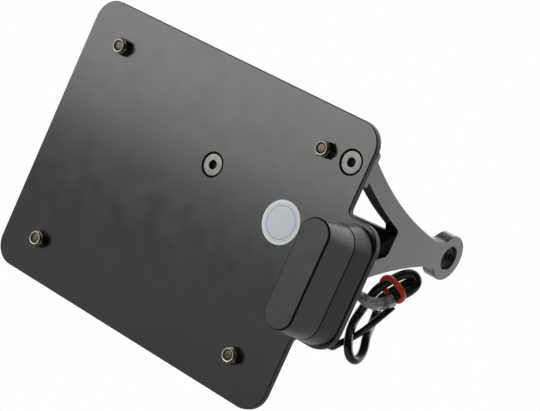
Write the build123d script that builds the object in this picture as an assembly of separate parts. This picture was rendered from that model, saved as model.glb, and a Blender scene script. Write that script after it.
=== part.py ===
"""Side-mounted licence plate holder for a motorbike.

A carrier plate with a lamp tab, a milled support arm with three feet and an eye for the
axle or frame bolt, a lamp with two leads held by a band, and the fasteners.
Millimetres. The origin is the centre of the eye's bore: +X runs along the bore, away from
the plate's middle, +Y runs away from the carrier plate and +Z is up.
"""
from build123d import *
import math
import os

# carrier plate
plate_width = 190.0
plate_height = 150.0
plate_thickness = 4.0
plate_corner = 12.0
plate_edge_radius = 0.6
tab_reach = 22.4
tab_height = 64.0
tab_corner = 11.5
tab_root_radius = 3.0

# support arm
arm_reach = 120.0
arm_thickness = 8.0
arm_inset = 10.0
eye_radius = 12.5
bore_radius = 6.5
neck_half = 7.4
neck_end = 20.0
neck_blend = 8.0
leg_bow = 3.8
leg_width = 9.5
window_base = 60.5
window_sag = 3.0
foot_pitch = 64.0
foot_length = 18.0
foot_depth = 12.0
foot_round = 3.0
foot_shoulder = 4.7
brace_span = 73.0
brace_height = 14.0
brace_thickness = 8.0
brace_drop = 2.2
arm_edge_chamfer = 0.4

# countersunk screws that hold the arm
arm_screw_radius = 3.0
arm_screw_head_radius = 6.0
arm_screw_length = 14.0
arm_screw_key = 4.0
arm_screw_key_depth = 2.2
arm_screw_sink = 0.3
thread_clearance = 0.05
hole_clearance = 0.3

# screws, nuts and inserts for the number plate
stud_margin_side = 25.5
stud_margin_end = 20.5
stud_radius = 2.5
stud_head_radius = 4.75
stud_head_height = 2.75
stud_key = 3.0
stud_key_depth = 1.6
stud_recess = 0.6
nut_across_flats = 8.0
nut_hex_height = 3.6
nut_height = 5.2
nut_collar_radius = 3.45
nut_collar_lip = 0.45
insert_height = 1.4

# round label
label_radius = 11.0
label_thickness = 0.2
label_inset = 32.0
label_up = 13.5

# lamp
lamp_beyond_edge = 8.6
lamp_drop = 0.5
lamp_width = 26.8
lamp_length = 61.0
lamp_end_flat = 1.0
gasket_thickness = 1.0
gasket_margin = 0.4
base_height = 12.0
base_side_taper = 2.4
base_end_taper = 1.6
base_edge_radius = 0.5
base_floor = 2.5
well_width = 17.0
well_length = 44.0
well_corner = 4.0
cover_foot_width = 21.6
cover_foot_length = 57.4
cover_face_width = 16.6
cover_face_length = 55.6
cover_lean = 1.1
cover_height = 20.0
cover_wall = 2.0
cover_edge_radius = 1.1
lens_low = 4.0
lens_high = 14.0
lens_length = 34.0
lens_clearance = 0.15
board_length = 38.0
board_height = 21.0
board_shift = 3.5
board_thickness = 1.6
rail_length = 6.0
rail_thickness = 1.6
rail_height = 3.0
rail_clearance = 0.15
led_side = 3.5
led_thickness = 1.4
led_pitch = 12.0
led_count = 3

# lamp fasteners, grommet and leads
lamp_screw_pitch = 50.0
lamp_screw_radius = 2.0
lamp_screw_head_radius = 3.9
lamp_screw_head_height = 2.4
lamp_screw_key = 2.5
lamp_screw_key_depth = 1.3
lamp_screw_bite = 6.0
washer_radius = 4.5
washer_thickness = 0.9
lead_radius = 2.2
wire_radius = 1.65
lead_exit_shift = 1.0
lead_exit_up = 2.5
lead_exit_gap = 6.5
lead_exit_out = 0.8
grommet_hole_radius = 7.0
grommet_flange = 1.2
grommet_flange_radius = 8.6
grommet_snout_radius = 6.4
grommet_snout_length = 3.5
grommet_clearance = 0.2
lead_clearance = 0.1

# band round the leads
band_thickness = 1.3
band_width = 3.0
band_clearance = 0.4
band_tilt = 12.0
band_offset = (13.8, 18.9, 4.6)
band_across = (0.7295, 0.3009, -0.6142)
band_along = (0.4993, 0.3795, 0.7789)
strand_gap = 0.1

# leads, as points measured from where each leaves the grommet, to its free end
lead_route = [
    (0.0, 0.0, 0.0), (0.0, 7.5, 0.0), (2.6, 10.2, -5.0), (12.3, 10.7, -5.4), (14.3, 18.2, -2.4),
    (23.2, 24.9, 11.4), (16.7, 22.2, 16.9), (7.5, 15.3, 2.7), (5.6, 14.9, -7.2), (3.3, 17.1, -12.5),
    (4.3, 13.1, -18.8), (9.8, 6.7, -25.8), (12.8, 8.2, -32.3), (14.4, 14.1, -33.9),
    (12.8, 19.6, -29.0), (10.3, 19.7, -21.1), (3.6, 32.0, -16.0), (2.7, 32.3, -8.2),
    (10.1, 16.1, -1.2), (17.5, 21.7, 10.4),
]
wire_route = [
    (0.0, 0.0, 0.0), (0.0, 5.5, 0.0), (0.0, 9.6, -7.4), (-3.9, 9.8, -18.7), (-2.7, 9.8, -25.2),
    (2.2, 8.7, -26.7), (5.3, 7.8, -22.7), (7.8, 16.0, -16.4), (13.6, 15.7, -6.8), (15.6, 22.1, 3.1),
]

# places that follow from the sizes above
face_y = -arm_reach
back_y = face_y + plate_thickness
leg_root = back_y + foot_depth
plate_x = -(plate_width / 2 - arm_inset)
stud_across = plate_width / 2 - stud_margin_side
stud_up = plate_height / 2 - stud_margin_end
arm_rise = stud_up - foot_pitch / 2
plate_z = -arm_rise
lamp_x = plate_width / 2 + lamp_beyond_edge
label_across = plate_width / 2 - label_inset
lead_exit_x = lamp_x + lead_exit_shift
grommet_up = lead_exit_up - lead_exit_gap / 2
front = Plane(origin=(plate_x, face_y, plate_z), x_dir=(1, 0, 0), z_dir=(0, -1, 0))
side = Plane.YZ
snout_end = plate_thickness + grommet_flange + grommet_snout_length
lead_exit = Vector(plate_x + lead_exit_x, face_y + snout_end + lead_exit_out, plate_z + lead_exit_up)
wire_exit = lead_exit - Vector(0, 0, lead_exit_gap)
arm_screw_places = {
    "upper": (-plate_x, arm_rise + foot_pitch / 2),
    "lower": (-plate_x, arm_rise - foot_pitch / 2),
    "inner": (-plate_x - brace_span, arm_rise),
}
stud_places = {
    name: (across * stud_across, up * stud_up)
    for name, across, up in (("upper_left", -1, 1), ("upper_right", 1, 1),
                             ("lower_left", -1, -1), ("lower_right", 1, -1))
}
lamp_screw_places = {
    "upper": (lamp_x, -lamp_drop + lamp_screw_pitch / 2),
    "lower": (lamp_x, -lamp_drop - lamp_screw_pitch / 2),
}
cover_low = gasket_thickness + base_height
cover_high = cover_low + cover_height


def disc(radius, low, high, at=(0, 0)):
    """A cylinder along Z between two levels."""
    return extrude(Plane(origin=(at[0], at[1], low)) * Circle(radius), high - low)


def hexagon(flats, low, high, at=(0, 0)):
    """A hexagonal bar along Z between two levels, with its size across the flats."""
    outline = RegularPolygon(radius=flats / 2, side_count=6, major_radius=False)
    return extrude(Plane(origin=(at[0], at[1], low)) * outline, high - low)


def cone(low_radius, high_radius, low, high, at=(0, 0)):
    """A cone along Z between two levels."""
    height = high - low
    return Pos(at[0], at[1], low + height / 2) * Cone(low_radius, high_radius, height)


def slab(width, length, corner, low, high, at=(0, 0)):
    """A block with rounded corners between two levels."""
    outline = RectangleRounded(width, length, corner)
    return extrude(Plane(origin=(at[0], at[1], low)) * outline, high - low)


def round_ended(width, length):
    """Width, length and corner of an outline with round ends, flat only in their middle."""
    return width, length, (width - lamp_end_flat) / 2


def tapered(foot, top, low, high, at=(0, 0), lean=0.0):
    """A rounded block whose width, length and corner change from its foot to its top, which may lean."""
    lower = Plane(origin=(at[0], at[1], low)) * RectangleRounded(*foot)
    upper = Plane(origin=(at[0], at[1] + lean, high)) * RectangleRounded(*top)
    return loft([lower, upper])


def level_edges(shape, level):
    """The edges that lie at one level."""
    return shape.edges().filter_by_position(Axis.Z, level - 0.01, level + 0.01)


def countersink(radius, depth, at):
    """The space that a countersunk head takes, opened past the plate's front."""
    rim = radius + hole_clearance
    return cone(rim - depth, rim + 1.0, -depth, 1.0, at)


def carrier_plate():
    """The flat carrier with its lamp tab, in its own frame, front face at zero."""
    sheet = RectangleRounded(plate_width, plate_height, plate_corner)
    tab_length = tab_reach + tab_corner * 2
    tab_middle = plate_width / 2 + tab_reach - tab_length / 2
    sheet += Pos(tab_middle, 0) * RectangleRounded(tab_length, tab_height, tab_corner)
    roots = [v for v in sheet.vertices()
             if abs(v.X - plate_width / 2) < 0.01 and abs(v.Y) < tab_height / 2 + 1]
    sheet = fillet(roots, tab_root_radius)
    plate = extrude(Pos(0, 0, -plate_thickness) * sheet, plate_thickness)
    rims = level_edges(plate, 0) + level_edges(plate, -plate_thickness)
    plate = fillet(rims, plate_edge_radius)
    below, above = -plate_thickness - 1.0, 1.0
    head_depth = arm_screw_head_radius + arm_screw_sink - arm_screw_radius
    for place in arm_screw_places.values():
        plate -= disc(arm_screw_radius + hole_clearance, below, above, place)
        plate -= countersink(arm_screw_head_radius + arm_screw_sink, head_depth, place)
    for place in stud_places.values():
        plate -= disc(stud_radius + hole_clearance, below, above, place)
    for place in lamp_screw_places.values():
        plate -= disc(lamp_screw_radius + hole_clearance, below, above, place)
    plate -= disc(grommet_hole_radius, below, above, (lead_exit_x, grommet_up))
    return plate


def leg_height(along, offset=0.0):
    """Height of a leg's edge at one distance along the arm, on an arc that bows inwards."""
    root = Vector(leg_root, foot_pitch / 2 + foot_shoulder)
    neck = Vector(-neck_end, neck_half)
    chord = neck - root
    radius = (chord.length ** 2 / 4 + leg_bow ** 2) / (2 * leg_bow)
    outward = Vector(-chord.Y, chord.X).normalized()
    centre = (root + neck) / 2 + outward * (radius - leg_bow)
    return centre.Y - math.sqrt((radius + offset) ** 2 - (along - centre.X) ** 2)


def leg_arc(start, end, offset, sign):
    """A leg's edge between two distances along the arm, on the upper or the lower side."""
    stations = (start, (start + end) / 2, end)
    return ThreePointArc(*[(along, sign * leg_height(along, offset)) for along in stations])


def arm_side():
    """Outline of the arm's flat side, without its feet, window and bore."""
    root = leg_height(leg_root)
    outline = [
        leg_arc(leg_root, -neck_end, 0, 1),
        Line((-neck_end, neck_half), (0, neck_half)),
        Line((0, neck_half), (0, -neck_half)),
        Line((0, -neck_half), (-neck_end, -neck_half)),
        leg_arc(-neck_end, leg_root, 0, -1),
        Line((leg_root, -root), (back_y, -root)),
        Line((back_y, -root), (back_y, root)),
        Line((back_y, root), (leg_root, root)),
    ]
    body = make_face(outline) + Circle(eye_radius)
    joins = [v for v in body.vertices() if abs(abs(v.Y) - neck_half) < 0.01 and -eye_radius < v.X < -1]
    return fillet(joins, neck_blend)


def arm_window():
    """The gap between the two legs, open towards the plate and round at its base."""
    inner = leg_height(leg_root, leg_width)
    base = leg_height(-window_base, leg_width)
    foot_inner = foot_pitch / 2 - foot_length / 2
    mouth = back_y - 1
    outline = [
        leg_arc(leg_root, -window_base, leg_width, 1),
        ThreePointArc((-window_base, base), (-window_base + window_sag, 0), (-window_base, -base)),
        leg_arc(-window_base, leg_root, leg_width, -1),
        Line((leg_root, -inner), (leg_root, -foot_inner)),
        Line((leg_root, -foot_inner), (mouth, -foot_inner)),
        Line((mouth, -foot_inner), (mouth, foot_inner)),
        Line((mouth, foot_inner), (leg_root, foot_inner)),
        Line((leg_root, foot_inner), (leg_root, inner)),
    ]
    return make_face(outline)


def arm_foot(height):
    """A foot block against the plate's back, at one height."""
    block = Pos(back_y + foot_depth / 2, height) * Rectangle(foot_depth, foot_length)
    outer = 1 if height > 0 else -1
    corners = [v for v in block.vertices() if v.X > back_y + 1 and (v.Y - height) * outer > 0]
    return fillet(corners, foot_round)


def arm_brace():
    """The slanting brace from the legs' root to the inner foot."""
    start = Vector(arm_thickness / 2, -window_base + window_sag / 2)
    foot_x = -brace_span
    rise = Vector(foot_x - start.X, back_y - start.Y).normalized()
    inward = Vector(rise.Y, -rise.X) * brace_thickness
    back_start = start + inward
    back_length = (foot_x - back_start.X) / rise.X
    outline = Polyline(
        (start.X, start.Y), (foot_x, back_y), (foot_x, back_start.Y + rise.Y * back_length),
        (back_start.X, back_start.Y), (start.X, back_start.Y), close=True)
    bar = Pos(0, 0, -brace_drop) * extrude(Face(Wire(outline)), brace_height / 2, both=True)
    pad = Plane(origin=(foot_x, back_y, 0), x_dir=(1, 0, 0), z_dir=(0, 1, 0)) * Circle(foot_length / 2)
    return bar + extrude(pad, foot_depth)


def support_arm():
    """The milled arm: an eye, a neck, two legs, three feet and the brace."""
    half = arm_thickness / 2
    arm = extrude(side * (arm_side() - Circle(bore_radius)), half, both=True)
    rims = [edge for face in arm.faces().filter_by(Axis.X) for edge in face.edges()
            if (edge @ 0.5).Y > leg_root + 1]
    arm = chamfer(rims, arm_edge_chamfer)
    arm -= extrude(side * arm_window(), half + 1, both=True)
    for height in (foot_pitch / 2, -foot_pitch / 2):
        arm += extrude(side * arm_foot(height), half, both=True)
    arm += arm_brace()
    depth = arm_screw_length + 1 - plate_thickness
    for across, up in arm_screw_places.values():
        hole = disc(arm_screw_radius + thread_clearance, -plate_thickness - depth, 1, (across, up))
        arm -= front * hole
    return arm


def arm_screw(place):
    """A countersunk screw with a hexagon socket, its head just below the plate's face."""
    top = -arm_screw_sink
    head_depth = arm_screw_head_radius - arm_screw_radius
    neck = top - head_depth
    screw = disc(arm_screw_radius, top - arm_screw_length, neck, place)
    screw += cone(arm_screw_radius, arm_screw_head_radius - thread_clearance, neck, top, place)
    screw -= hexagon(arm_screw_key, top - arm_screw_key_depth, top + 1, place)
    return front * screw


def stud_screw(place):
    """A button-head screw that points out of the plate's front."""
    seat = -plate_thickness
    head = disc(stud_head_radius, seat - stud_head_height, seat, place)
    head = fillet(level_edges(head, seat - stud_head_height), stud_head_height * 0.7)
    head -= hexagon(stud_key, seat - stud_head_height - 1, seat - stud_head_height + stud_key_depth, place)
    shank = disc(stud_radius, seat, nut_height - stud_recess, place)
    shank = chamfer(level_edges(shank, nut_height - stud_recess), 0.4)
    return front * (head + shank)


def lock_nut(place):
    """A hexagon nut with a round collar that holds a nylon insert."""
    corner = nut_across_flats / math.sqrt(3)
    body = hexagon(nut_across_flats, 0, nut_hex_height, place)
    body = body & cone(corner + nut_hex_height - 0.7, corner - 0.7, 0, nut_hex_height, place)
    body += disc(nut_collar_radius, nut_hex_height - 0.5, nut_height, place)
    body -= disc(stud_radius + thread_clearance, -1, nut_height + 1, place)
    seat = nut_height - insert_height - nut_collar_lip
    body -= disc(nut_collar_radius - nut_collar_lip, seat, nut_height + 1, place)
    return front * body


def nut_insert(place):
    """The nylon ring in a lock nut's collar."""
    seat = nut_height - insert_height - nut_collar_lip
    ring = disc(nut_collar_radius - nut_collar_lip - thread_clearance, seat, seat + insert_height, place)
    ring -= disc(stud_radius + thread_clearance, seat - 1, seat + insert_height + 1, place)
    return front * ring


def round_label():
    """The thin round label on the plate's front."""
    return front * disc(label_radius, 0, label_thickness, (label_across, label_up))


def lamp_gasket():
    """The flat seal under the lamp, with holes for its screws and its leads."""
    trim = 2 * gasket_margin
    seal = slab(*round_ended(lamp_width - trim, lamp_length - trim), 0, gasket_thickness, (lamp_x, -lamp_drop))
    for place in lamp_screw_places.values():
        seal -= disc(lamp_screw_radius + hole_clearance, -1, gasket_thickness + 1, place)
    opening = grommet_hole_radius + grommet_clearance
    seal -= disc(opening, -1, gasket_thickness + 1, (lead_exit_x, grommet_up))
    return front * seal


def lead_holes(clearance, low, high):
    """The holes that the two leads pass through, side by side."""
    upper = disc(lead_radius + clearance, low, high, (lead_exit_x, lead_exit_up))
    return upper + disc(wire_radius + clearance, low, high, (lead_exit_x, lead_exit_up - lead_exit_gap))


def lamp_base():
    """The lamp's base: a thick tray with a well, rails for the board and two screw bosses."""
    low, high = gasket_thickness, cover_low
    middle = (lamp_x, -lamp_drop)
    top = round_ended(lamp_width - 2 * base_side_taper, lamp_length - 2 * base_end_taper)
    base = tapered(round_ended(lamp_width, lamp_length), top, low, high, middle)
    base = fillet(level_edges(base, high), base_edge_radius)
    floor = low + base_floor
    base -= slab(well_width, well_length, well_corner, floor, high + 1, middle)
    for up in (-1, 1):
        end = -lamp_drop + up * (board_length / 2 - rail_length / 2)
        for across in (-1, 1):
            offset = across * (board_thickness / 2 + rail_clearance + rail_thickness / 2)
            rail = Box(rail_thickness, rail_length, rail_height)
            base += Pos(lamp_x - board_shift + offset, end, floor + rail_height / 2) * rail
    for place in lamp_screw_places.values():
        base -= disc(lamp_screw_radius + thread_clearance, low - 1, low + lamp_screw_bite + 0.5, place)
    base -= lead_holes(lead_clearance, low - 1, floor + 1)
    return front * base


def cover_skin(offset, low, high):
    """The cover's outer form, moved inwards by an offset, between two levels."""
    foot = round_ended(cover_foot_width - 2 * offset, cover_foot_length - 2 * offset)
    face = round_ended(cover_face_width - 2 * offset, cover_face_length - 2 * offset)
    return tapered(foot, face, low, high, (lamp_x, -lamp_drop), cover_lean)


def lens_window(clearance):
    """The block that cuts the lens window through the wall that faces the number plate."""
    low = cover_low + lens_low + clearance
    high = cover_low + lens_high - clearance
    width = cover_foot_width / 2
    centre = Pos(lamp_x - width / 2 - 2, -lamp_drop, (low + high) / 2)
    return centre * Box(width, lens_length - 2 * clearance, high - low)


def cover_wall_form():
    """The hollow cover before the lens window is cut."""
    outer = cover_skin(0, cover_low, cover_high)
    outer = fillet(level_edges(outer, cover_high), cover_edge_radius)
    return outer - cover_skin(cover_wall, cover_low - 0.001, cover_high - cover_wall)


def lamp_cover():
    """The tall dark cover with its lens window."""
    return front * (cover_wall_form() - lens_window(0))


def lamp_lens():
    """The clear lens that fills the cover's window."""
    return front * (cover_wall_form() & lens_window(lens_clearance))


def lamp_board():
    """The circuit board that stands between the base's rails."""
    floor = gasket_thickness + base_floor
    board = Box(board_thickness, board_length, board_height)
    return front * (Pos(lamp_x - board_shift, -lamp_drop, floor + board_height / 2) * board)


def lamp_leds():
    """The light-emitting diodes on the board's side that faces the lens."""
    level = cover_low + (lens_low + lens_high) / 2
    across = lamp_x - board_shift - board_thickness / 2 - led_thickness / 2
    chips = []
    for index in range(led_count):
        up = -lamp_drop + (index - (led_count - 1) / 2) * led_pitch
        chips.append(front * (Pos(across, up, level) * Box(led_thickness, led_side, led_side)))
    return Compound(children=chips)


def lamp_screw(place):
    """A button-head screw from the plate's back into the lamp's base."""
    seat = -plate_thickness - washer_thickness
    head = disc(lamp_screw_head_radius, seat - lamp_screw_head_height, seat, place)
    head = fillet(level_edges(head, seat - lamp_screw_head_height), lamp_screw_head_height * 0.7)
    key_floor = seat - lamp_screw_head_height + lamp_screw_key_depth
    head -= hexagon(lamp_screw_key, seat - lamp_screw_head_height - 1, key_floor, place)
    shank = disc(lamp_screw_radius, seat, gasket_thickness + lamp_screw_bite, place)
    return front * (head + shank)


def lamp_washer(place):
    """The washer under a lamp screw's head."""
    seat = -plate_thickness - washer_thickness
    ring = disc(washer_radius, seat, -plate_thickness, place)
    ring -= disc(lamp_screw_radius + hole_clearance, seat - 1, 0, place)
    return front * ring


def lead_grommet():
    """The rubber grommet in the tab, with a hole for each lead."""
    at = (lead_exit_x, grommet_up)
    back = -plate_thickness
    body = disc(grommet_hole_radius - grommet_clearance, back, gasket_thickness, at)
    body += disc(grommet_flange_radius, back - grommet_flange, back, at)
    snout = back - grommet_flange - grommet_snout_length
    body += disc(grommet_snout_radius, snout, back - grommet_flange, at)
    body = fillet(level_edges(body, snout), 0.8)
    body -= lead_holes(lead_clearance, snout - 1, gasket_thickness + 1)
    return front * body


def inner_lead(radius, up):
    """The straight stretch of a lead from the lamp's well to the grommet's end."""
    top = gasket_thickness + base_floor + 1.0
    return front * disc(radius, -snout_end - lead_exit_out, top, (lead_exit_x, up))


def free_lead(start, route, radius, name):
    """A lead outside the lamp: straight runs joined by tangent arcs."""
    points = [start + Vector(*offset) for offset in route]
    radii = []
    for before, here, after in zip(points, points[1:], points[2:]):
        turn = (here - before).get_angle(after - here)
        shorter = min((here - before).length, (after - here).length)
        radii.append(0.45 * shorter / math.tan(math.radians(turn) / 2))
    path = FilletPolyline(*points, radius=radii)
    end = Plane(origin=path @ 0, z_dir=path % 0)
    tube = sweep(end * Circle(radius), path=path)
    expected = math.pi * radius ** 2 * path.length
    print(f"{name}: length {path.length:.1f}, least radius {min(radii):.2f}, volume share {tube.volume / expected:.4f}")
    return tube


def red_band():
    """The rubber band round the three strands of the folded lead, tilted over them."""
    pitch = 2 * lead_radius + strand_gap
    tilt = math.radians(band_tilt)
    inner_width = 2 * pitch + 2 * (lead_radius + band_clearance)
    inner_height = 2 * (lead_radius + band_clearance) / math.cos(tilt) + band_width * math.tan(tilt)
    plane = Plane(origin=lead_exit + Vector(*band_offset), x_dir=band_across, z_dir=band_along)
    plane = plane.rotated((band_tilt, 0, 0))
    outer = RectangleRounded(inner_width + 2 * band_thickness, inner_height + 2 * band_thickness,
                             inner_height / 2 + band_thickness - 0.01)
    hole = RectangleRounded(inner_width, inner_height, inner_height / 2 - 0.01)
    return extrude(plane * (outer - hole), band_width / 2, both=True)


parts = {
    "carrier_plate": front * carrier_plate(),
    "support_arm": support_arm(),
    "round_label": round_label(),
    "lamp_gasket": lamp_gasket(),
    "lamp_base": lamp_base(),
    "lamp_cover": lamp_cover(),
    "lamp_lens": lamp_lens(),
    "lamp_board": lamp_board(),
    "lamp_leds": lamp_leds(),
    "lead_grommet": lead_grommet(),
    "inner_lead": inner_lead(lead_radius, lead_exit_up),
    "inner_wire": inner_lead(wire_radius, lead_exit_up - lead_exit_gap),
    "lamp_lead": free_lead(lead_exit, lead_route, lead_radius, "lamp_lead"),
    "lamp_wire": free_lead(wire_exit, wire_route, wire_radius, "lamp_wire"),
    "red_band": red_band(),
}
for name, place in arm_screw_places.items():
    parts["arm_screw_" + name] = arm_screw(place)
for name, place in stud_places.items():
    parts["stud_screw_" + name] = stud_screw(place)
    parts["lock_nut_" + name] = lock_nut(place)
    parts["nut_insert_" + name] = nut_insert(place)
for name, place in lamp_screw_places.items():
    parts["lamp_screw_" + name] = lamp_screw(place)
    parts["lamp_washer_" + name] = lamp_washer(place)

os.makedirs("parts", exist_ok=True)
for name, shape in parts.items():
    export_step(shape, f"parts/{name}.step")
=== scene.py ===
"""Finishes, fasteners and leads for a side-mounted licence plate holder, laid out as an add-on."""
import math

import bmesh
import bpy
from bpy.props import FloatProperty, FloatVectorProperty, PointerProperty
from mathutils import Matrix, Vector


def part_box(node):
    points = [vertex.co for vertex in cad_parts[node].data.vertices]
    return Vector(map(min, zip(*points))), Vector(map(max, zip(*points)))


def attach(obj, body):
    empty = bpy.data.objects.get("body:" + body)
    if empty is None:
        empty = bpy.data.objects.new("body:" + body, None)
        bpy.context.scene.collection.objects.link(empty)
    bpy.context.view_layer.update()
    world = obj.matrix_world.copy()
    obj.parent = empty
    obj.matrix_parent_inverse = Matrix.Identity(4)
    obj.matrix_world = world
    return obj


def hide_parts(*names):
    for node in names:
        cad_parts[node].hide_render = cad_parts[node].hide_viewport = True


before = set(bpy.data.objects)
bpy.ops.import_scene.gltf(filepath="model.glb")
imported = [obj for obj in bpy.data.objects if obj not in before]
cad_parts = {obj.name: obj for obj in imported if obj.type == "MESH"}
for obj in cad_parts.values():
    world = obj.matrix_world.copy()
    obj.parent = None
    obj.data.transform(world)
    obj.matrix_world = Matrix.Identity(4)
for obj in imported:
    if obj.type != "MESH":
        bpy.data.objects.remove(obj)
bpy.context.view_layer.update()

bl_info = {
    "name": "Licence plate holder",
    "version": (1, 0, 0),
    "blender": (4, 5, 0),
    "location": "View3D > Sidebar > Plate holder",
    "description": "Dresses a packed licence plate holder with its finishes, fasteners and leads",
    "category": "Object",
}

MM = 0.001
CREASE = 32.0
WHITE = (1.0, 1.0, 1.0, 1.0)
ARM_SCREWS = ("upper", "lower", "inner")
CORNERS = ("upper_left", "upper_right", "lower_left", "lower_right")
PLATE_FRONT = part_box("carrier_plate")[0].y
PLATE_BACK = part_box("carrier_plate")[1].y


def middle(node):
    """The middle of a node's box."""
    low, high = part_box(node)
    return (low + high) / 2


def named(stem, ends):
    """The names of like nodes."""
    return [stem + "_" + end for end in ends]


def places_of(nodes, level):
    """The middles of nodes, set on one level across the carrier."""
    return [(middle(node).x, level, middle(node).z) for node in nodes]


# ---------------------------------------------------------------- settings


def tint(name, about, value):
    """A colour setting without its alpha."""
    return FloatVectorProperty(name=name, description=about, default=value, size=3,
                               subtype="COLOR", min=0.0, max=1.0)


def length(name, about, value):
    """A length setting, given in metres."""
    return FloatProperty(name=name, description=about, default=value, unit="LENGTH",
                         subtype="DISTANCE", min=0.0, precision=5)


def share(name, about, value, highest=1.0):
    """A plain number from zero upwards."""
    return FloatProperty(name=name, description=about, default=value, min=0.0, max=highest)


class CoatFinish(bpy.types.PropertyGroup):
    """The satin coat on the carrier plate and the arm."""
    plate: tint("Plate", "Colour of the carrier's coat", (0.011, 0.0122, 0.0136))
    arm: tint("Arm", "Colour of the arm's coat", (0.026, 0.027, 0.028))
    # Painted shade: this darker colour stands for the shade in the arm's window, on its brace and
    # in the carrier's countersinks.
    shade: tint("Shade", "Colour of the thin coat inside the arm's window", (0.006, 0.006, 0.0065))
    roughness: share("Roughness", "How softly the coat reflects", 0.19)
    grain: length("Grain", "Width of one grain of the coat's fine texture", 0.45 * MM)
    grain_depth: share("Grain depth", "Strength of the coat's fine texture", 0.10)


class LampFinish(bpy.types.PropertyGroup):
    """The lamp's plastic, lens and electronics."""
    plastic: tint("Plastic", "Colour of the lamp's base and cover", (0.030, 0.031, 0.032))
    roughness: share("Roughness", "How softly the plastic reflects", 0.40)
    grain: length("Grain", "Width of one grain of the moulded texture", 0.35 * MM)
    lens: tint("Lens", "Colour of the lens", (0.90, 0.93, 0.95))
    board: tint("Board", "Colour of the board's lacquer", (0.02, 0.12, 0.05))
    chip: tint("Light chip", "Colour of the light chips", (0.86, 0.82, 0.55))


class MetalFinish(bpy.types.PropertyGroup):
    """The fasteners' metals."""
    head: tint("Screw heads", "Colour of the countersunk heads", (0.37, 0.355, 0.33))
    nut: tint("Nuts", "Colour of the nuts' bodies", (0.16, 0.15, 0.135))
    # Painted highlight: the lips' near-white colour stands for light on the rolled collar, which is
    # the same metal as the body.
    lip_highlight: tint("Nut lips", "Colour of the nuts' rolled lips", (0.92, 0.86, 0.74))
    stud: tint("Studs", "Colour of the studs' ends", (0.075, 0.07, 0.05))
    insert: tint("Nut inserts", "Colour of the nylon rings", (0.16, 0.15, 0.12))
    # Painted shade: the colour deep in the key sockets stands for the shade there.
    recess: tint("Sockets", "Colour deep in the key sockets", (0.010, 0.010, 0.011))
    roughness: share("Roughness", "How softly the metals reflect", 0.34)


class LabelFinish(bpy.types.PropertyGroup):
    """The bare round label."""
    rim: tint("Rim", "Colour of the label's rim", (0.95, 0.95, 0.95))
    field: tint("Field", "Colour of the label's field", (0.75, 0.81, 0.85))
    line: tint("Line", "Colour of the thin circle", (0.36, 0.39, 0.42))
    rim_width: length("Rim width", "Width of the pale rim", 1.15 * MM)
    line_radius: length("Line radius", "Radius of the thin circle", 8.2 * MM)


class LeadFinish(bpy.types.PropertyGroup):
    """The lamp's two leads and their band."""
    lead_diameter: length("Lead diameter", "Outside diameter of the sleeved lead", 4.4 * MM)
    wire_diameter: length("Wire diameter", "Outside diameter of the thinner lead", 3.3 * MM)
    sleeve: tint("Sleeve", "Colour of the leads' sleeves", (0.006, 0.006, 0.0065))
    jacket: tint("Jacket", "Colour of the crumpled outer sleeve", (0.62, 0.625, 0.63))
    jacket_start: length("Jacket start", "Where the outer sleeve begins along the lead", 8.0 * MM)
    jacket_end: length("Jacket end", "Where the outer sleeve ends along the lead", 33.0 * MM)
    sleeve_roughness: share("Sleeve roughness", "How softly the sleeves reflect", 0.15)
    band: tint("Band", "Colour of the rubber band", (0.98, 0.085, 0.045))
    rubber: tint("Rubber", "Colour of the grommet and the seal", (0.018, 0.018, 0.018))


class StudioLight(bpy.types.PropertyGroup):
    """The lights and the floor."""
    sky: share("Sky", "Brightness of the soft light from all round", 0.48, 4.0)
    dim: share("Dim side", "Share of that light on the right in front", 0.12)
    key: share("Key", "Brightness of the large soft box", 4.8, 40.0)
    top: share("Top", "Brightness of the wide soft box above and behind", 1.5, 40.0)
    rim: share("Rim", "Brightness of the soft box on the right behind", 1.1, 40.0)
    distance: length("Distance", "Distance of the soft boxes from the holder", 1.9)
    floor_drop: length("Floor drop", "Depth of the floor under the eye", 0.36)
    floor: tint("Floor", "Colour of the floor", (0.62, 0.62, 0.62))


SETTINGS = {
    "plate_holder_coat": CoatFinish,
    "plate_holder_lamp": LampFinish,
    "plate_holder_metal": MetalFinish,
    "plate_holder_label": LabelFinish,
    "plate_holder_leads": LeadFinish,
    "plate_holder_studio": StudioLight,
}


# ---------------------------------------------------------------- materials


class Graph:
    """A node tree that is built up node by node."""

    def __init__(self, tree):
        self.nodes, self.links = tree.nodes, tree.links

    def node(self, kind, links=None, values=None, **settings):
        """Adds a node, sets it and links its inputs."""
        made = self.nodes.new(kind)
        for name, value in settings.items():
            setattr(made, name, value)
        for name, value in (values or {}).items():
            made.inputs[name].default_value = value
        for name, source in (links or {}).items():
            self.links.new(source, made.inputs[name])
        return made


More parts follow.
